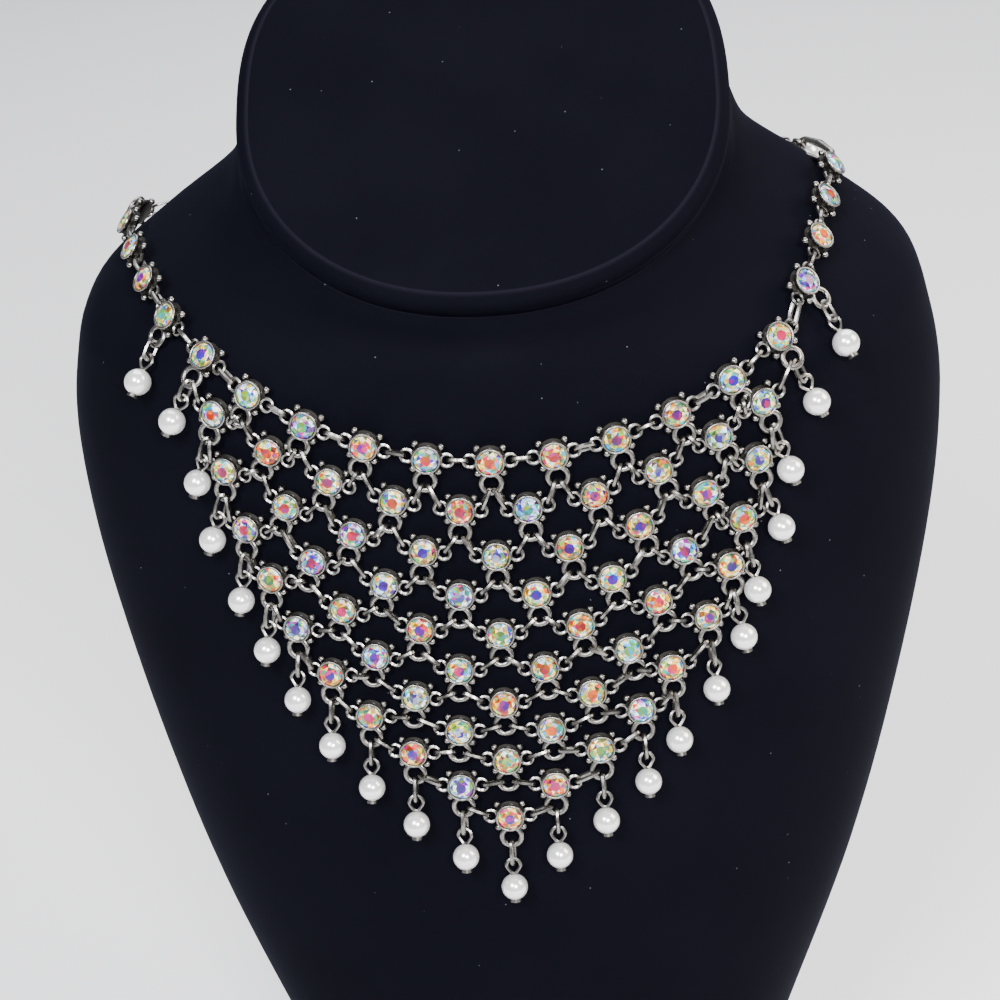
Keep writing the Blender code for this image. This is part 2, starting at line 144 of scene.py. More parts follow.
# The necklace on the velvet, in millimetres and degrees beside the shares that the solid uses.
lay = {
    "rowCount": 11, "halfWidth": 60.9, "height": 101.0, "top": 0.8485, "side": -0.1, "askew": 0.9,
    "gap": 0.4, "feel": 4.65, "feelWeight": 0.5, "endTurnShare": 0.45, "endTurnStep": 0.27,
    "chainPitch": 13.4, "chainTurnOut": 18, "chainDropLean": 3, "leftStones": 5, "rightStones": 4,
    "solidReach": 5.3, "solidHeight": 2.0, "dropLength": 11.8,
    "rows": (
        # half width, ends, middle, drop's lean
        (1.004, 0.013, 0.197, 23), (0.974, 0.113, 0.308, 17), (0.952, 0.236, 0.408, 16),
        (0.893, 0.365, 0.497, 6), (0.816, 0.474, 0.582, 5), (0.732, 0.581, 0.664, 0),
        (0.619, 0.680, 0.738, 0), (0.487, 0.771, 0.803, 0), (0.337, 0.852, 0.867, 0),
        (0.169, 0.927, 0.928, 0), (0.000, 1.000, 1.000, 0),
    ),
    "neckRoute": (
        # across, back and up, as shares of the bust's half width, lean and height
        (-0.680, 0.474, 0.869), (-0.748, 0.714, 0.887), (-0.796, 0.966, 0.900), (-0.830, 1.172, 0.909),
        (-0.843, 1.362, 0.909), (-0.748, 1.517, 0.915), (-0.583, 1.578, 0.930), (-0.398, 1.603, 0.940),
        (-0.194, 1.647, 0.943), (0.000, 1.655, 0.943), (0.194, 1.647, 0.943), (0.398, 1.603, 0.940),
        (0.615, 1.517, 0.927), (0.712, 1.345, 0.922), (0.735, 1.103, 0.915), (0.718, 0.895, 0.907),
        (0.694, 0.666, 0.890), (0.646, 0.429, 0.866),
    ),
}


def nearest(point):
    # the velvet nearest to a point, with its normal averaged round it
    spot, normal, _, _ = velvetTree.find_nearest(point)
    side = normal.orthogonal().normalized()
    for turn in range(4):
        ray = Matrix.Rotation(turn * math.pi / 2, 3, normal) @ side
        felt = velvetTree.find_nearest(spot + ray * lay["feel"] * mm)[1]
        normal = normal + felt * lay["feelWeight"]
    return spot, normal.normalized()


def makeSeat(spot, normal, along):
    # X runs along the row, Y up and Z out of the velvet
    along = (along - normal * along.dot(normal)).normalized()
    seat = Matrix((along, normal.cross(along), normal)).transposed().to_4x4()
    seat.translation = spot + normal * lay["gap"] * mm
    return seat


def at(seat, x, y, z):
    return seat @ (Vector((x, y, z)) * mm)


def lineLength(points):
    return sum((b - a).length for a, b in zip(points, points[1:]))


def placesAlong(points, distances):
    placed = []
    for left in distances:
        for a, b in zip(points, points[1:]):
            step = (b - a).length
            if left <= step:
                break
            left -= step
        placed.append(a.lerp(b, min(left / step, 1)))
    return placed


def bibSpot(across, drop):
    turn = math.radians(lay["askew"])
    x = lay["side"] + across * math.cos(turn) - drop * math.sin(turn)
    z = lay["top"] * bust["height"] / mm - across * math.sin(turn) - drop * math.cos(turn)
    start = Vector((x * mm, -1, z * mm)) + homeShift  # well in front of the bust
    return nearest(velvetTree.ray_cast(start, Vector((0, 1, 0)))[0])


def rowSeats(row):
    width, ends, middle, _ = lay["rows"][row]
    count = lay["rowCount"] - row
    if count == 1:
        return [makeSeat(*bibSpot(0, middle * lay["height"]), Vector((1, 0, 0)))]
    samples = 60
    line = []
    for step in range(samples + 1):
        share = 2 * step / samples - 1
        drop = middle - (middle - ends) * share ** 2
        line.append(bibSpot(width * lay["halfWidth"] * share, drop * lay["height"])[0])
    pitch = lineLength(line) / (count - 1)
    distances = [pitch * index for index in range(count)]
    spots = [nearest(point) for point in placesAlong(line, distances)]
    seats = []
    for index, (spot, normal) in enumerate(spots):
        before = spots[max(index - 1, 0)][0]
        after = spots[min(index + 1, count - 1)][0]
        along = (after - before).normalized()
        if index in (0, count - 1):  # its drop pulls an end stone straighter than its row
            share = max(lay["endTurnShare"], 1 - row * lay["endTurnStep"])
            along = Vector((1, 0, 0)).lerp(along, share)
        seats.append(makeSeat(spot, normal, along))
    return seats


def neckLine(steps=8):
    size = (bust["halfWidth"], bust["lean"], bust["height"])
    points = [Vector(a * b for a, b in zip(share, size)) + homeShift for share in lay["neckRoute"]]
    line = [bibSeats[0][0].translation]
    for place in range((len(points) - 1) * steps + 1):
        line.append(nearest(Vector(readBetween(points, place / steps)))[0])
    return line + [bibSeats[0][-1].translation]


def chainSeats(line, count, side):
    distances = [lay["chainPitch"] * mm * number for number in range(1, count + 1)]
    spots = [nearest(point) for point in placesAlong(line, distances)]
    turn = math.radians(lay["chainTurnOut"])
    seats = []
    for index, (spot, normal) in enumerate(spots):
        before = spots[index - 1][0] if index else line[0]
        after = spots[index + 1][0] if index + 1 < count else spot * 2 - before
        away = Matrix.Rotation(side * turn, 3, after - before) @ normal
        seat = makeSeat(spot, away, (after - before) * side)
        seat.translation += normal * lay["solidReach"] * mm * math.sin(turn)
        seats.append(seat)
    return seats


bibSeats = [rowSeats(row) for row in range(lay["rowCount"])]
neckWay = neckLine()
leftSeats = chainSeats(neckWay, lay["leftStones"], -1)
rightSeats = chainSeats(neckWay[::-1], lay["rightStones"], 1)
print("places of", sum(len(seats) for seats in bibSeats) + len(leftSeats) + len(rightSeats), "stones")

# The camera: a short telephoto view from a little above, rolled as a hand holds it.
view = {
    "lens": 75, "distance": 0.45, "elevation": 27.08, "yaw": -3.99, "roll": 4.68,
    "aim": (0.00058, 0.0, 0.19488),
}


def makeCamera():
    rise = math.radians(view["elevation"])
    yaw = Matrix.Rotation(math.radians(-view["yaw"]), 3, "Z")
    tilt = math.radians(view["roll"])
    right = Vector((1, 0, 0))
    up = Vector((0, math.sin(rise), math.cos(rise)))
    forward = Vector((0, math.cos(rise), -math.sin(rise)))
    across = yaw @ (right * math.cos(tilt) - up * math.sin(tilt))
    above = yaw @ (right * math.sin(tilt) + up * math.cos(tilt))
    camera = bpy.data.objects.new("camera", bpy.data.cameras.new("camera"))
    camera.data.lens = view["lens"]
    camera.data.sensor_width = 36
    camera.data.clip_start = 0.01
    place = Matrix((across, above, yaw @ -forward)).transposed().to_4x4()
    place.translation = yaw @ (Vector(view["aim"]) - forward * view["distance"]) + homeShift
    camera.matrix_world = place
    bpy.context.scene.collection.objects.link(camera)
    bpy.context.scene.camera = camera


makeCamera()


# Finishes.

def colour(code):
    # an sRGB hex value as linear light
    linear = []
    for start in (1, 3, 5):
        part = int(code[start:start + 2], 16) / 255
        linear.append(part / 12.92 if part <= 0.04045 else ((part + 0.055) / 1.055) ** 2.4)
    return (*linear, 1.0)


def addNode(tree, kind, settings=None, links=None):
    # settings are the node's own or its inputs' values, and links join inputs to other sockets
    node = tree.nodes.new(kind)
    for name, value in (settings or {}).items():
        if isinstance(name, int) or name in node.inputs:
            node.inputs[name].default_value = value
        else:
            setattr(node, name, value)
    for name, socket in (links or {}).items():
        tree.links.new(socket, node.inputs[name])
    return node


def newFinish(name, settings):
    finish = bpy.data.materials.new(name)
    finish.use_nodes = True
    tree = finish.node_tree
    shader = tree.nodes["Principled BSDF"]
    for socket, value in settings.items():
        shader.inputs[socket].default_value = value
    return finish, tree, shader


def cottonVelvet():
    # cut pile, nearly black: soft bluish light at grazing angles, worn paler at edges with a painted sheen
    # along them, a few specks of lint
    look = {"Roughness": 0.9, "Specular IOR Level": 0.03, "Sheen Weight": 0.02, "Sheen Roughness": 0.4,
            "Sheen Tint": colour("#6c72b0")}
    finish, tree, shader = newFinish("cotton_velvet", look)
    spot = addNode(tree, "ShaderNodeTexCoord").outputs["Object"]
    napScale = 1 / (35.7 * mm)  # broad strokes in the nap
    pileScale = 1 / (0.5263 * mm)  # tufts, drawn coarser than the real pile so that they show
    lintScale = 1 / (3.846 * mm)  # one cell for each place where a speck may lie
    nap = addNode(tree, "ShaderNodeTexNoise", {"Scale": napScale, "Detail": 4.0}, {"Vector": spot})
    pile = addNode(tree, "ShaderNodeTexNoise", {"Scale": pileScale, "Detail": 2.0}, {"Vector": spot})
    stroked = addNode(tree, "ShaderNodeMix",
                      {"data_type": "RGBA", 6: colour("#030308"), 7: colour("#0a0a12")},
                      {0: nap.outputs["Fac"]})
    grain = addNode(tree, "ShaderNodeMath", {"operation": "MULTIPLY", 1: 0.5}, {0: pile.outputs["Fac"]})
    tufted = addNode(tree, "ShaderNodeMix", {"data_type": "RGBA", 7: colour("#08080e")},
                     {0: grain.outputs[0], 6: stroked.outputs[2]})
    # paler along the marked edges: partly wear, partly painted sheen
    wornAndSheen = addNode(tree, "ShaderNodeAttribute", {"attribute_name": "wornAndSheen"})
    wornAndSheened = addNode(tree, "ShaderNodeMix", {"data_type": "RGBA", 7: colour("#13121a")},
                     {0: wornAndSheen.outputs["Fac"], 6: tufted.outputs[2]})
    lint = addNode(tree, "ShaderNodeTexVoronoi", {"Scale": lintScale}, {"Vector": spot})
    small = addNode(tree, "ShaderNodeMath", {"operation": "LESS_THAN", 1: 0.04},
                    {0: lint.outputs["Distance"]})
    cell = addNode(tree, "ShaderNodeSeparateColor", {}, {"Color": lint.outputs["Color"]})
    few = addNode(tree, "ShaderNodeMath", {"operation": "GREATER_THAN", 1: 0.65}, {0: cell.outputs["Red"]})
    speck = addNode(tree, "ShaderNodeMath", {"operation": "MULTIPLY"},
                    {0: small.outputs[0], 1: few.outputs[0]})
    linted = addNode(tree, "ShaderNodeMix", {"data_type": "RGBA", 7: colour("#4c4e5a")},
                     {0: speck.outputs[0], 6: wornAndSheened.outputs[2]})
    tree.links.new(linted.outputs[2], shader.inputs["Base Color"])
    bump = addNode(tree, "ShaderNodeBump", {"Strength": 0.35, "Distance": 0.3 * mm},
                   {"Height": pile.outputs["Fac"]})
    tree.links.new(bump.outputs["Normal"], shader.inputs["Normal"])
    return finish


def antiquedSilver():
    # cast and plated, rubbed bright on top, with a dark patina left in the recesses; the recesses and
    # undersides are also darkened as painted shade
    finish, tree, shader = newFinish("antiqued_silver_plate", {"Metallic": 1.0, "Roughness": 0.3})
    spot = addNode(tree, "ShaderNodeTexCoord").outputs["Object"]
    cloudScale = 1 / (2.381 * mm)  # patches of patina
    castScale = 1 / (0.3846 * mm)  # the casting's grain, drawn coarser than it is so that it shows
    # darkened where the castings mark recesses and undersides: patina and painted shade
    patinaAndShade = addNode(tree, "ShaderNodeAttribute", {"attribute_name": "patinaAndShade"})
    cloud = addNode(tree, "ShaderNodeTexNoise", {"Scale": cloudScale, "Detail": 3.0}, {"Vector": spot})
    cast = addNode(tree, "ShaderNodeTexNoise", {"Scale": castScale, "Detail": 2.0}, {"Vector": spot})
    patina = addNode(tree, "ShaderNodeMapRange", {"From Min": 0.42, "From Max": 0.68, "To Max": 0.4},
                     {"Value": cloud.outputs["Fac"]})
    dark = addNode(tree, "ShaderNodeMath", {"operation": "MAXIMUM"},
                   {0: patina.outputs[0], 1: patinaAndShade.outputs["Fac"]})
    plate = addNode(tree, "ShaderNodeMix",
                    {"data_type": "RGBA", 6: colour("#8a8782"), 7: colour("#13110f")},
                    {0: dark.outputs[0]})
    tree.links.new(plate.outputs[2], shader.inputs["Base Color"])
    rough = addNode(tree, "ShaderNodeMapRange", {"To Min": 0.24, "To Max": 0.6}, {"Value": dark.outputs[0]})
    tree.links.new(rough.outputs[0], shader.inputs["Roughness"])
    bump = addNode(tree, "ShaderNodeBump", {"Strength": 0.25, "Distance": 0.1 * mm},
                   {"Height": cast.outputs["Fac"]})
    tree.links.new(bump.outputs["Normal"], shader.inputs["Normal"])
    return finish


def coatedCrystal():
    # cut lead glass, foil behind it and a rainbow film on it: every facet sends back another hue; each
    # facet's brightness, the white stops and an even glow are painted light
    look = {"Roughness": 0.2, "IOR": 1.36, "Coat Weight": 0.3, "Coat Roughness": 0.02, "Coat IOR": 1.5,
            # Emission Strength is a painted glow
            "Emission Strength": 0.4}
    finish, tree, shader = newFinish("rainbow_coated_crystal", look)
    spot = addNode(tree, "ShaderNodeTexCoord").outputs["Object"]
    innerScale = 1 / (1.111 * mm)  # painted reflections of the back facets, seen through the front
    fire = addNode(tree, "ShaderNodeAttribute", {"attribute_name": "fire"})
    paintedGlint = addNode(tree, "ShaderNodeAttribute", {"attribute_name": "paintedGlint"})
    inner = addNode(tree, "ShaderNodeTexVoronoi", {"Scale": innerScale}, {"Vector": spot})
    parts = addNode(tree, "ShaderNodeSeparateColor", {}, {"Color": inner.outputs["Color"]})
    stray = addNode(tree, "ShaderNodeMapRange", {"To Min": -0.09, "To Max": 0.09},
                    {"Value": parts.outputs["Red"]})
    hue = addNode(tree, "ShaderNodeMath", {"operation": "ADD"},
                  {0: fire.outputs["Fac"], 1: stray.outputs[0]})
    ramp = addNode(tree, "ShaderNodeValToRGB", {}, {"Fac": hue.outputs[0]})
    # the white and pale cream stops are painted highlights
    rainbow = ((0.0, "#a06400"), (0.09, "#e8b000"), (0.17, "#fff0b0"), (0.25, "#7c9a00"),
               (0.34, "#009868"), (0.42, "#0090e4"), (0.5, "#f0f6e6"), (0.6, "#1a10b0"),
               (0.7, "#540088"), (0.8, "#d01c6c"), (0.9, "#b80800"), (1.0, "#e86800"))
    stops = ramp.color_ramp.elements
    stops.remove(stops[-1])
    for place, code in rainbow:  # a new ramp has a stop at 0 already
        stop = stops.new(place) if place > 0 else stops[0]
        stop.color = colour(code)
    # each facet's painted brightness: a painted glint, with the back facets' painted reflections
    paintedShine = addNode(tree, "ShaderNodeMath", {"operation": "MULTIPLY_ADD", 1: 0.35},
                    {0: parts.outputs["Green"], 2: paintedGlint.outputs["Fac"]})
    paintedReturn = addNode(tree, "ShaderNodeMix", {"data_type": "RGBA", 6: colour("#1a1714")},
                       {0: paintedShine.outputs[0], 7: ramp.outputs["Color"]})
    tree.links.new(paintedReturn.outputs[2], shader.inputs["Base Color"])
    tree.links.new(paintedReturn.outputs[2], shader.inputs["Emission Color"])  # painted glow: the facets' colour given off as light, for the light that the foil sends back
    return finish


def glassPearl():
    # a glass bead dipped in pearl essence: white, a soft deep gloss and a faint uneven skin, with a faint
    # painted glow
    look = {"Metallic": 0.45, "Roughness": 0.22, "IOR": 1.6, "Coat Weight": 1.0, "Coat Roughness": 0.06,
            # Emission Strength is a faint painted glow that brightens the pearl
            "Coat IOR": 1.85, "Emission Strength": 0.12}
    finish, tree, shader = newFinish("white_glass_pearl", look)
    spot = addNode(tree, "ShaderNodeTexCoord").outputs["Object"]
    skinScale = 1 / (1.667 * mm)  # thicker and thinner places in the dipped skin
    skin = addNode(tree, "ShaderNodeTexNoise", {"Scale": skinScale, "Detail": 3.0}, {"Vector": spot})
    white = addNode(tree, "ShaderNodeMix",
                    {"data_type": "RGBA", 6: colour("#eeece9"), 7: colour("#e2e0de")},
                    {0: skin.outputs["Fac"]})
    tree.links.new(white.outputs[2], shader.inputs["Base Color"])
    bump = addNode(tree, "ShaderNodeBump", {"Strength": 0.06, "Distance": 0.2 * mm},
                   {"Height": skin.outputs["Fac"]})
    tree.links.new(bump.outputs["Normal"], shader.inputs["Normal"])
    return finish


velvetFinish = cottonVelvet()
silverFinish = antiquedSilver()
crystalFinish = coatedCrystal()
pearlFinish = glassPearl()


# The bust.

def makeBust():
    bm = roll.copy()
    near = 1e-5
    base = [edge for edge in bm.edges if all(vert.co.z < near for vert in edge.verts)]
    bmesh.ops.bevel(bm, geom=base, offset=bust["baseEdge"], offset_type="OFFSET", segments=3, profile=0.5,
                    affect="EDGES", material=-1)
    wornAndSheen = bm.verts.layers.float.new("wornAndSheen")
    top = len(bust["sections"]) - 1
    around = bust["around"]
    rim = [bustPoint(top, 2 * math.pi * step / around) + homeShift for step in range(around)]
    quarter = rim[around // 4]
    normal = (rim[0] - quarter).cross(rim[around // 2] - quarter).normalized()
    lowest = min(point.z for point in rim)
    # the line round the neck's rim is paler: wear and a painted sheen
    for vert in bm.verts:
        if vert.co.z > lowest - 10 * near and abs((vert.co - rim[0]).dot(normal)) < near:
            vert[wornAndSheen] = bust["wornAndSheenRim"]
    mesh = newMesh("velvetBust", bm)
    mesh.shade_smooth()
    mesh.set_sharp_from_angle(angle=math.radians(bust["sharp"]))
    newPiece("velvetBust", mesh, velvetFinish, "black_velvet", "neck_bust")


neckCap = {"thick": 5.5, "round": 3.0, "gap": 0.3, "steps": 5, "wornAndSheenLine": 0.35}  # mm


def makeCap():
    tilt = math.radians(bust["neckTilt"])
    up = Vector((0, -math.sin(tilt), math.cos(tilt)))
    around = bust["around"]
    bm = bmesh.new()
    bmesh.ops.create_circle(bm, cap_ends=True, segments=around, radius=1)
    for step, vert in enumerate(bm.verts):
        point = bustPoint(len(bust["sections"]) - 1, 2 * math.pi * step / around)
        vert.co = point + homeShift + up * neckCap["gap"] * mm
    foot = bm.verts[:][0].co.copy()
    raised = bmesh.ops.extrude_face_region(bm, geom=bm.faces[:])["geom"]
    lifted = [item for item in raised if isinstance(item, bmesh.types.BMVert)]
    face = [item for item in raised if isinstance(item, bmesh.types.BMFace)]
    bmesh.ops.translate(bm, verts=lifted, vec=up * neckCap["thick"] * mm)
    bmesh.ops.bevel(bm, geom=list(face[0].edges), offset=neckCap["round"] * mm, offset_type="OFFSET",
                    segments=neckCap["steps"], profile=0.5, affect="EDGES", material=-1)
    wornAndSheen = bm.verts.layers.float.new("wornAndSheen")
    near = 0.01
    raisedTo = neckCap["thick"] - near
    heights = {vert: (vert.co - foot).dot(up) / mm for vert in bm.verts}
    # the top and bottom edges are paler: wear and a painted sheen
    for vert, height in heights.items():
        if height > raisedTo or height < near:
            vert[wornAndSheen] = 1
    flat = [item for item in bm.faces if all(heights[vert] > raisedTo for vert in item.verts)]
    bmesh.ops.inset_region(bm, faces=flat, thickness=neckCap["wornAndSheenLine"] * mm)
    for vert in flat[0].verts:  # the top stays dark inside its line of wear and painted sheen
        vert[wornAndSheen] = 0
    mesh = newMesh("velvetCap", bm)
    mesh.shade_smooth()
    newPiece("velvetCap", mesh, velvetFinish, "black_velvet", "neck_cap")


makeBust()
makeCap()
roll.free()
print("bust done")

# One stone's setting, in millimetres: a bezel on a pierced gallery on a base plate, with a bead at each
# corner, a wire loop at each side and a flat ring below.
setting = {
    "level": 1.4, "around": 24,
    "turn": 0.15,  # how far a cup may stand turned, in radians
    "posts": 8, "postShare": 0.4, "postLow": 1.8, "postHigh": 2.3, "postReach": 2.95, "postPatinaAndShade": 0.7,
    "profile": (
        # radius, height, how dark with patina and painted shade
        (0.0, 0.35, 1.0), (2.7, 0.35, 1.0), (3.2, 0.6, 0.95), (3.42, 0.9, 0.9), (3.42, 1.4, 0.93),
        (3.0, 1.7, 0.96), (2.55, 1.85, 0.96), (2.5, 2.25, 0.96), (2.75, 2.45, 0.96), (3.0, 2.55, 0.9),
        (3.2, 2.8, 0.4), (3.24, 3.1, 0.0), (3.16, 3.34, 0.0), (2.98, 3.42, 0.0), (2.78, 3.36, 0.0),
        (2.68, 3.2, 0.7), (2.64, 2.95, 1.0), (0.0, 2.9, 1.0),
    ),
    "bead": 0.84, "beadReach": 3.95, "loopMid": 1.4, "loopWire": 0.4, "loopReach": 4.3,
    "ringMid": 2.2, "ringWide": 0.6, "ringTall": 0.42, "ringReach": 5.3,
    "linkWire": 0.52, "linkMid": 1.1, "linkShort": 3.2, "linkOut": 0.3, "linkLean": (0, -0.8, 0.42),
    "slack": 0.06, "rowTwist": 25, "netTwist": 18, "chainTwist": 40,  # twists and the sharp angle in degrees
    # faces round a ring and round its wire, or round a bead and up it
    "beadFaces": (10, 7), "loopFaces": (16, 6), "ringFaces": (20, 8), "linkFaces": (14, 6),
    "ringPatinaAndShade": 0.1, "beadPatinaAndShade": 0.2, "sharp": 50,
}
stone = {
    "girdle": 2.62, "middle": 2.02, "table": 1.2, "seat": 3.06, "edge": 0.1, "facets": 8,
    "girdleRise": 0.12, "middleRise": 0.5, "tableRise": 0.74,
    "turn": 1.0,  # how far it may lie turned in its cup, in radians
    # where on the rainbow its facets lie, and how bright their painted glints are
    "tableHues": (0.66, 0.7, 0.76, 0.84, 0.93, 0.6, 0.3), "tableGlint": (0.1, 0.5),
    "hueFrom": (0.0, 0.5), "hueSpread": (-0.35, 0.45), "paintedGlint": (0.0, 1.0),
}


def turned(profile, around):
    # a profile of radius, height and darkness from patina and painted shade, spun into a closed body
    bm = bmesh.new()
    patinaAndShade = bm.verts.layers.float.new("patinaAndShade")
    verts = []
    for radius, height, depth in profile:
        vert = bm.verts.new((radius, 0, height))
        vert[patinaAndShade] = depth
        verts.append(vert)
    edges = [bm.edges.new(pair) for pair in zip(verts, verts[1:])]
    bmesh.ops.spin(bm, geom=verts + edges, cent=(0, 0, 0), axis=(0, 0, 1), angle=2 * math.pi, steps=around,
                   use_merge=True)
    bmesh.ops.remove_doubles(bm, verts=bm.verts, dist=0.0001)
    return bm


def cupShape():
    bm = turned(setting["profile"], setting["around"])
    patinaAndShade = bm.verts.layers.float["patinaAndShade"]
    for vert in bm.verts:  # the gallery's posts stand out of its recess
        angle = math.atan2(vert.co.y, vert.co.x)
        isPost = math.cos(angle * setting["posts"]) > setting["postShare"]
        if isPost and setting["postLow"] < vert.co.z < setting["postHigh"]:
            vert.co.xy = vert.co.xy.normalized() * setting["postReach"]
            vert[patinaAndShade] = setting["postPatinaAndShade"]
    return newMesh("cup", bm)


def ringBmesh(mid, wide, tall, faces):
    # a ring of wire, its section wide along its radius and tall along Z
    around, sides = faces
    bm = bmesh.new()
    section = bmesh.ops.create_circle(bm, segments=sides, radius=1)["verts"]
    bmesh.ops.scale(bm, verts=section, vec=(wide, tall, 1))
    bmesh.ops.rotate(bm, verts=section, cent=(0, 0, 0), matrix=Matrix.Rotation(math.pi / 2, 3, "X"))
    bmesh.ops.translate(bm, verts=section, vec=(mid, 0, 0))
    bmesh.ops.spin(bm, geom=bm.verts[:] + bm.edges[:], cent=(0, 0, 0), axis=(0, 0, 1), angle=2 * math.pi,
                   steps=around, use_merge=True)
    bmesh.ops.remove_doubles(bm, verts=bm.verts, dist=0.0001)
    return bm


def patinaAndShadeUnder(bm, low, high):
    # the side that faces the velvet is darkened: patina and painted shade
    patinaAndShade = bm.verts.layers.float.new("patinaAndShade")
    for vert in bm.verts:
        vert[patinaAndShade] = min(max((high - vert.co.z) / (high - low), 0), 1)


def ringShape(name, mid, wide, tall, faces):
    bm = ringBmesh(mid, wide, tall, faces)
    patinaAndShadeUnder(bm, -tall, -tall * setting["ringPatinaAndShade"])
    return newMesh(name, bm)


def ovalLink(length, mid, wire, faces):
    # a ring stretched along Y until its wire's centre is length long
    bm = ringBmesh(mid, wire, wire, faces)
    stretch = max(length / 2 - mid, 0)
    for vert in bm.verts:
        if abs(vert.co.y) > 0.01:  # the vertices halfway stay, and the sides grow straight from them
            vert.co.y += math.copysign(stretch, vert.co.y)
    bm.verts.layers.float.new("patinaAndShade")
    return newMesh("link", bm)


def beadShape(radius, faces):
    around, up = faces
    bm = bmesh.new()
    bmesh.ops.create_uvsphere(bm, u_segments=around, v_segments=up, radius=radius)
    patinaAndShadeUnder(bm, -radius, -radius * setting["beadPatinaAndShade"])
    return newMesh("bead", bm)


def crystalShape():
    # the hull of a table, a middle ring and a girdle, which gives stars, kites and girdle facets
    facets = stone["facets"]
    rings = (
        # corners, share of a step it is turned by, radius, height over the seat
        (facets, 0, stone["table"], stone["tableRise"]),
        (facets, 0.5, stone["middle"], stone["middleRise"]),
        (facets * 2, 0, stone["girdle"], stone["girdleRise"]),
        (facets * 2, 0, stone["girdle"], -stone["edge"]),
    )
    bm = bmesh.new()
    for count, offset, radius, rise in rings:
        for step in range(count):
            turn = 2 * math.pi * (step + offset) / count
            bm.verts.new((radius * math.cos(turn), radius * math.sin(turn), stone["seat"] + rise))
    bmesh.ops.convex_hull(bm, input=bm.verts[:])
    bmesh.ops.dissolve_limit(bm, angle_limit=math.radians(1.5), verts=bm.verts, edges=bm.edges)
    table = bm.faces.layers.float.new("table")
    for face in bm.faces:
        face[table] = 1.0 if face.normal.z > 0.99 and face.calc_center_median().z > stone["seat"] else 0.0
    return newMesh("crystal", bm)


shapes = {
    "cup": cupShape(),
    "bead": beadShape(setting["bead"], setting["beadFaces"]),
    "loop": ringShape("loop", setting["loopMid"], setting["loopWire"], setting["loopWire"],
                      setting["loopFaces"]),
    "ring": ringShape("ring", setting["ringMid"], setting["ringWide"], setting["ringTall"],
                      setting["ringFaces"]),
    "crystal": crystalShape(),
}


def joined(name, parts):
    # one mesh of many shapes, each made in millimetres and set at its place
    bm = bmesh.new()
    for shape, place in parts:
        moved = shape.copy()
        moved.transform(place @ Matrix.Scale(mm, 4))
        bm.from_mesh(moved)
        bpy.data.meshes.remove(moved)
    mesh = bpy.data.meshes.new(name)
    bm.to_mesh(mesh)
    bm.free()
    return mesh


def shifted(seat, x, y, z):
    return seat @ Matrix.Translation(Vector((x, y, z)) * mm)


def sway(limit):
    return draw.uniform(-limit, limit)


def settingParts(seat, withRing=True):
    level = setting["level"]
    turn = Matrix.Rotation(sway(setting["turn"]), 4, "Z")
    parts = [(shapes["cup"], seat @ turn)]
    corner = setting["beadReach"] / math.sqrt(2)
    for x in (-corner, corner):
        for y in (-corner, corner):
            parts.append((shapes["bead"], shifted(seat, x, y, level)))
    for side in (-1, 1):
        parts.append((shapes["loop"], shifted(seat, side * setting["loopReach"], 0, level)))
    if withRing:
        parts.append((shapes["ring"], shifted(seat, 0, -setting["ringReach"], level)))
    return parts


def loopCentre(seat, side):
    return at(seat, side * setting["loopReach"], 0, setting["level"])


def ringCentre(seat):
    return at(seat, 0, -setting["ringReach"], setting["level"])


# How far inside a loop or a ring the wire of a link lies, from its centre.
loopHold = setting["loopMid"] - setting["loopWire"] - setting["linkWire"] - setting["slack"]
ringHold = setting["ringMid"] - setting["ringWide"] - setting["linkWire"] - setting["slack"]


def linkBetween(start, startHold, end, endHold, normal, twist):
    # an oval link that holds the wires round two centres, on its edge as the velvet lets it stand
    way = (end - start).normalized()
    top = start + way * startHold * mm
    foot = end - way * endHold * mm
    out = normal * setting["linkOut"] + Vector(setting["linkLean"])
    up = Matrix.Rotation(math.radians(twist), 3, way) @ (out - way * out.dot(way)).normalized()
    place = Matrix((up, way, up.cross(way))).transposed().to_4x4()
    place.translation = (top + foot) / 2
    length = max((foot - top).length / mm, setting["linkShort"])
    return ovalLink(length, setting["linkMid"], setting["linkWire"], setting["linkFaces"]), place


def crystalPiece(name, seats):
    parts = []
    for seat in seats:
        parts.append((shapes["crystal"], seat @ Matrix.Rotation(draw.uniform(0, stone["turn"]), 4, "Z")))
    mesh = joined(name, parts)
    table = mesh.attributes["table"].data
    fire = mesh.attributes.new("fire", "FLOAT", "FACE").data
    # each facet's painted brightness
    paintedGlint = mesh.attributes.new("paintedGlint", "FLOAT", "FACE").data
    facets = len(mesh.polygons) // len(seats)
    for first in range(0, len(mesh.polygons), facets):
        hue = draw.uniform(*stone["hueFrom"])
        for number in range(first, first + facets):
            if table[number].value > 0.5:
                fire[number].value = draw.choice(stone["tableHues"])
                paintedGlint[number].value = draw.uniform(*stone["tableGlint"])
            else:
                fire[number].value = (hue + draw.triangular(*stone["hueSpread"], 0)) % 1.0
                paintedGlint[number].value = draw.uniform(*stone["paintedGlint"])
    newPiece(name, mesh, crystalFinish, None)


def silverPiece(name, parts, *replaced):
    mesh = joined(name, parts)
    mesh.shade_smooth()
    mesh.set_sharp_from_angle(angle=math.radians(setting["sharp"]))
    newPiece(name, mesh, silverFinish, "antiqued_silver", *replaced)


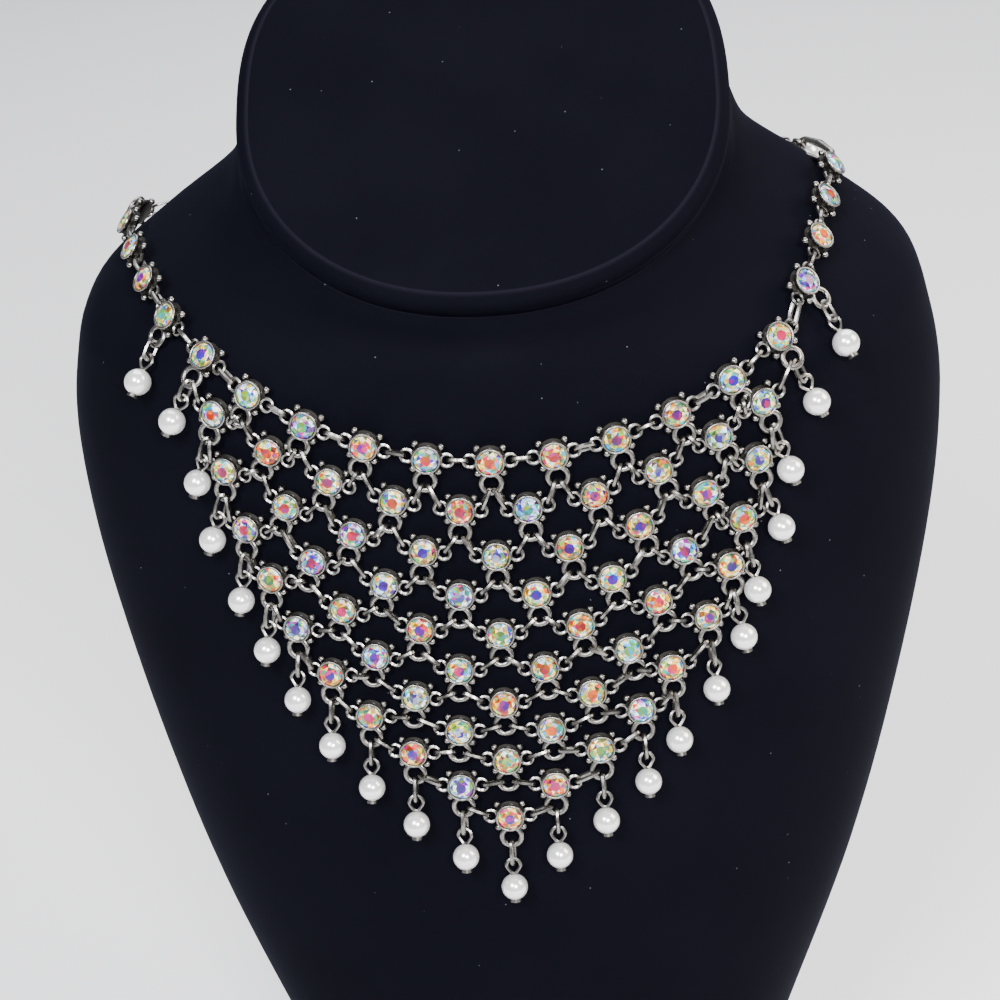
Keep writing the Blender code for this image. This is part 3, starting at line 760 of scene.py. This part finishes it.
def makeNet():
    castings = []
    for seats in bibSeats:
        for seat in seats:
            castings += settingParts(seat)
    silverPiece("netCastings", castings, "stone_net")
    crystalPiece("netCrystals", [seat for seats in bibSeats for seat in seats])
    links = []
    top = bibSeats[0]
    for left, right in zip(top, top[1:]):
        links.append(linkBetween(loopCentre(left, 1), loopHold, loopCentre(right, -1), loopHold,
                                 left.col[2].xyz, sway(setting["rowTwist"])))
    for above, seats in zip(bibSeats, bibSeats[1:]):
        for index, seat in enumerate(seats):
            for side, upper in ((-1, above[index]), (1, above[index + 1])):
                links.append(linkBetween(ringCentre(upper), ringHold, loopCentre(seat, side), loopHold,
                                         seat.col[2].xyz, sway(setting["netTwist"])))
    silverPiece("netLinks", links)


def makeNeckChain(name, seats, side, corner, replaced):
    castings = []
    for index, seat in enumerate(seats):
        castings += settingParts(seat, withRing=index == 0)
    previous = corner
    for seat in seats:
        castings.append(linkBetween(loopCentre(previous, side), loopHold, loopCentre(seat, -side), loopHold,
                                    seat.col[2].xyz, sway(setting["chainTwist"])))
        previous = seat
    silverPiece(name + "Castings", castings, replaced)
    crystalPiece(name + "Crystals", seats)


makeNet()
makeNeckChain("leftChain", leftSeats, -1, bibSeats[0][0], "stone_chain_left")
makeNeckChain("rightChain", rightSeats, 1, bibSeats[0][-1], "stone_chain_right")
print("stones and settings done")

# A pearl drop, in millimetres down from the ring that it hangs on.
drop = {
    "pearl": 3.0, "pearlFaces": (32, 20), "eyeFaces": (18, 6), "pinSides": 16,
    "eyeMid": 1.58, "eyeWire": 0.4, "tail": 0.55, "narrow": 0.55,
    "eyeDeep": 0.15, "eyeSunk": 0.35, "eyeSway": 14,
    "pinRadius": 1.2, "pinTaper": 0.9, "pinTall": 0.8, "pinDeep": 0.3, "pinGap": 0.08,
    "linkGap": 0.1, "linkLap": 0.4, "linkSway": 18, "linkTurned": (38, 62),  # sways and turns in degrees
    "turnedTops": (5, 18),  # drops before the first and after the second number have turned links
}


def eyeShape():
    # a round eye bent from wire, drawn in to a point at the pearl
    bm = ringBmesh(drop["eyeMid"], drop["eyeWire"], drop["eyeWire"], drop["eyeFaces"])
    for vert in bm.verts:
        if vert.co.y < 0:
            share = -vert.co.y / drop["eyeMid"]
            vert.co.x *= 1 - drop["narrow"] * min(share, 1) ** 2
            vert.co.y *= 1 + drop["tail"] * min(share, 1) ** 2
    patinaAndShade = bm.verts.layers.float.new("patinaAndShade")
    for vert in bm.verts:
        vert[patinaAndShade] = drop["eyeDeep"]
    return newMesh("eye", bm)


def pinShape():
    # the flat head of the wire pin, its sides slightly tapered
    bm = bmesh.new()
    bmesh.ops.create_cone(bm, cap_ends=True, segments=drop["pinSides"], radius1=drop["pinRadius"],
                          radius2=drop["pinRadius"] * drop["pinTaper"], depth=drop["pinTall"],
                          matrix=Matrix.Rotation(math.radians(-90), 4, "X"))
    patinaAndShade = bm.verts.layers.float.new("patinaAndShade")
    for vert in bm.verts:
        vert[patinaAndShade] = drop["pinDeep"]
    return newMesh("pin", bm)


shapes["eye"] = eyeShape()
shapes["pin"] = pinShape()
shapes["pearl"] = beadShape(drop["pearl"], drop["pearlFaces"])


def dropPlace(seat, lean):
    # where the pearl lies on the velvet, as the solid has it
    centre = at(seat, 0, -lay["solidReach"], lay["solidHeight"])
    normal = nearest(centre)[1]
    outward = math.copysign(math.radians(lean), centre.x - homeShift.x)
    down = Vector((math.sin(outward), 0, -math.cos(outward)))
    down = (down - normal * down.dot(normal)).normalized()
    surface, pearlNormal = nearest(centre + down * lay["dropLength"] * mm)
    return surface + pearlNormal * (drop["pearl"] + lay["gap"]) * mm, pearlNormal


def hangPearl(ring, pearl, normal, twist, wires, pearls, hold):
    # a link on the ring, the eye below it, the pearl and the head of its pin
    hang = (pearl - ring).normalized()
    eyeTop = (pearl - ring).length / mm - drop["pearl"] - drop["eyeMid"] * 2 - drop["linkGap"]
    foot = ring + hang * (eyeTop + drop["eyeWire"] + drop["linkLap"]) * mm
    wires.append(linkBetween(ring, hold, foot, 0, normal, twist))
    out = (normal - hang * normal.dot(hang)).normalized()
    out = Matrix.Rotation(math.radians(sway(drop["eyeSway"])), 3, hang) @ out
    place = Matrix((-hang.cross(out), -hang, out)).transposed().to_4x4()
    eyeRise = drop["pearl"] + drop["eyeMid"] * (1 + drop["tail"]) - drop["eyeSunk"]
    pinDrop = drop["pearl"] + drop["pinGap"]
    for shape, along, pieces in (("eye", -eyeRise, wires), ("pin", pinDrop, wires), ("pearl", 0, pearls)):
        place.translation = pearl + hang * along * mm
        pieces.append((shapes[shape], place.copy()))


def pearlPiece(name, pearls, *replaced):
    mesh = joined(name, pearls)
    mesh.shade_smooth()
    newPiece(name, mesh, pearlFinish, "pearl", *replaced)


def makeDrops():
    # down the left edge to the point, up the right edge, then the first stone of each neck chain
    rows = [(seats, lean) for seats, (_, _, _, lean) in zip(bibSeats, lay["rows"])]
    hangers = [(seats[0], lean) for seats, lean in rows]
    hangers += [(seats[-1], lean) for seats, lean in rows[-2::-1]]
    hangers += [(leftSeats[0], lay["chainDropLean"]), (rightSeats[0], lay["chainDropLean"])]
    wires = []
    pearls = []
    left, right = drop["turnedTops"]
    for number, (seat, lean) in enumerate(hangers):
        pearl, normal = dropPlace(seat, lean)
        turned = number < left or number > right
        twist = draw.uniform(*drop["linkTurned"]) if turned else sway(drop["linkSway"])
        hangPearl(ringCentre(seat), pearl, normal, twist, wires, pearls, ringHold)
    silverPiece("dropWires", wires)
    names = [f"pearl_drop_{number:02d}" for number in range(1, len(hangers) + 1)]
    pearlPiece("hangingPearls", pearls, *names)


makeDrops()
print("pearl drops done")

# The fine extender chain round the back, its clasp and the pearl at its end, in millimetres and degrees.
extender = {
    "linkLong": 3.5, "linkMid": 1.0, "wire": 0.33, "lift": 1.7, "turn": 45, "sway": 8,
    "claspMid": 1.9, "claspWire": 0.85, "claspFaces": (32, 10),
    "claspEnds": (0.7, 0.8), "claspSwell": (0.4, 0.6),  # across and up
    "claspRoom": 13.4, "claspHold": 0.4, "claspTurn": 60,
    "endPearl": (3.0, 5.0, -3.0), "endHold": 0.5, "endTwist": 30,
}


def claspShape(length):
    # a long hook clasp, swelling from both ends to a stout middle
    clasp = ovalLink(length, extender["claspMid"], extender["claspWire"], extender["claspFaces"])
    across, up = extender["claspEnds"]
    moreAcross, moreUp = extender["claspSwell"]
    for vert in clasp.vertices:
        swell = 1 - min(abs(vert.co.y) / (length / 2), 1) ** 2
        vert.co.x *= across + moreAcross * swell
        vert.co.z *= up + moreUp * swell
    return clasp


def extenderWay():
    # the chain's joints from the last left stone to the clasp, with the velvet's normal at each
    start = lay["leftStones"] * lay["chainPitch"] + setting["loopReach"]
    taken = lay["rightStones"] * lay["chainPitch"] + lay["solidReach"] + extender["claspRoom"]
    end = lineLength(neckWay) / mm - taken
    count = round((end - start) / (extender["linkLong"] - 2 * extender["wire"]))
    distances = [(start + (end - start) * step / count) * mm for step in range(count + 1)]
    spots = [nearest(point) for point in placesAlong(neckWay, distances)]
    line = [spot + normal * (lay["gap"] + extender["lift"]) * mm for spot, normal in spots]
    line[0] = loopCentre(leftSeats[-1], -1)
    return line, [normal for spot, normal in spots]


def makeExtender():
    line, normals = extenderWay()
    links = []
    for number, (a, b, normal) in enumerate(zip(line, line[1:], normals)):
        way = (b - a).normalized()
        up = (normal - way * normal.dot(way)).normalized()
        turn = extender["turn"] + 90 * (number % 2) + sway(extender["sway"])  # every second link crosses
        up = Matrix.Rotation(math.radians(turn), 3, way) @ up
        place = Matrix((up, way, up.cross(way))).transposed().to_4x4()
        place.translation = (a + b) / 2
        length = (b - a).length / mm + 2 * extender["wire"]
        link = ovalLink(length, extender["linkMid"], extender["wire"], setting["linkFaces"])
        links.append((link, place))
    silverPiece("extenderChain", links, "back_chain")
    chainEnd = line[-1]
    claspStart = loopCentre(rightSeats[-1], 1)
    place = linkBetween(claspStart, loopHold, chainEnd, extender["claspHold"], normals[-1],
                        extender["claspTurn"])[1]
    silverPiece("claspLoop", [(claspShape((chainEnd - claspStart).length / mm), place)], "hook_clasp")
    wires = []
    pearls = []
    spot, normal = nearest(chainEnd + Vector(extender["endPearl"]) * mm)
    hangPearl(chainEnd, spot + normal * (drop["pearl"] + lay["gap"]) * mm, normal, extender["endTwist"],
              wires, pearls, extender["endHold"])
    silverPiece("endPearlWires", wires)
    pearlPiece("endPearl", pearls, "end_pearl")


makeExtender()
print("extender done")

# The floor and the soft light of a plain studio.
studio = {
    "floorSize": 3.0, "floor": "#e6e6e7", "floorCloud": "#e8e8e8", "cloudSize": 0.5,
    "world": "#e3e8ee", "worldStrength": 0.42, "aim": (0, 0, 0.17),
    "lamps": (
        # name, place, side, power, colour
        ("windowLight", (-0.35, -0.75, 0.95), 0.4, 18, "#f2f6ff"),
        ("frontLight", (0.25, -0.9, 0.75), 0.3, 17, "#ffffff"),
        ("rightLight", (0.9, 0.0, 0.8), 0.6, 15, "#fff3e6"),
        ("backLight", (0.1, 0.9, 1.5), 1.6, 40, "#f7f9ff"),
    ),
}


def mattPaper():
    # uncoated paper, matt and very slightly cloudy
    finish, tree, shader = newFinish("matt_paper_floor", {"Roughness": 0.9})
    spot = addNode(tree, "ShaderNodeTexCoord").outputs["Object"]
    cloudScale = 1 / studio["cloudSize"]
    cloud = addNode(tree, "ShaderNodeTexNoise", {"Scale": cloudScale, "Detail": 3.0}, {"Vector": spot})
    paper = addNode(tree, "ShaderNodeMix",
                    {"data_type": "RGBA", 6: colour(studio["floor"]), 7: colour(studio["floorCloud"])},
                    {0: cloud.outputs["Fac"]})
    tree.links.new(paper.outputs[2], shader.inputs["Base Color"])
    return finish


def makeStudio():
    finish = mattPaper()
    bm = bmesh.new()
    bmesh.ops.create_grid(bm, x_segments=1, y_segments=1, size=studio["floorSize"])
    mesh = bpy.data.meshes.new("floor")
    bm.to_mesh(mesh)
    bm.free()
    mesh.materials.append(finish)
    floor = bpy.data.objects.new("floor", mesh)
    bpy.context.scene.collection.objects.link(floor)
    for name, place, side, power, code in studio["lamps"]:
        lamp = bpy.data.lights.new(name, "AREA")
        lamp.size = side
        lamp.energy = power
        lamp.color = colour(code)[:3]
        holder = bpy.data.objects.new(name, lamp)
        holder.location = place
        aim = Vector(studio["aim"]) - Vector(place)
        holder.rotation_euler = aim.to_track_quat("-Z", "Y").to_euler()
        bpy.context.scene.collection.objects.link(holder)
    world = bpy.data.worlds.new("studio")
    bpy.context.scene.world = world
    world.use_nodes = True
    sky = world.node_tree.nodes["Background"]
    sky.inputs["Color"].default_value = colour(studio["world"])
    sky.inputs["Strength"].default_value = studio["worldStrength"]


makeStudio()
print("studio done")
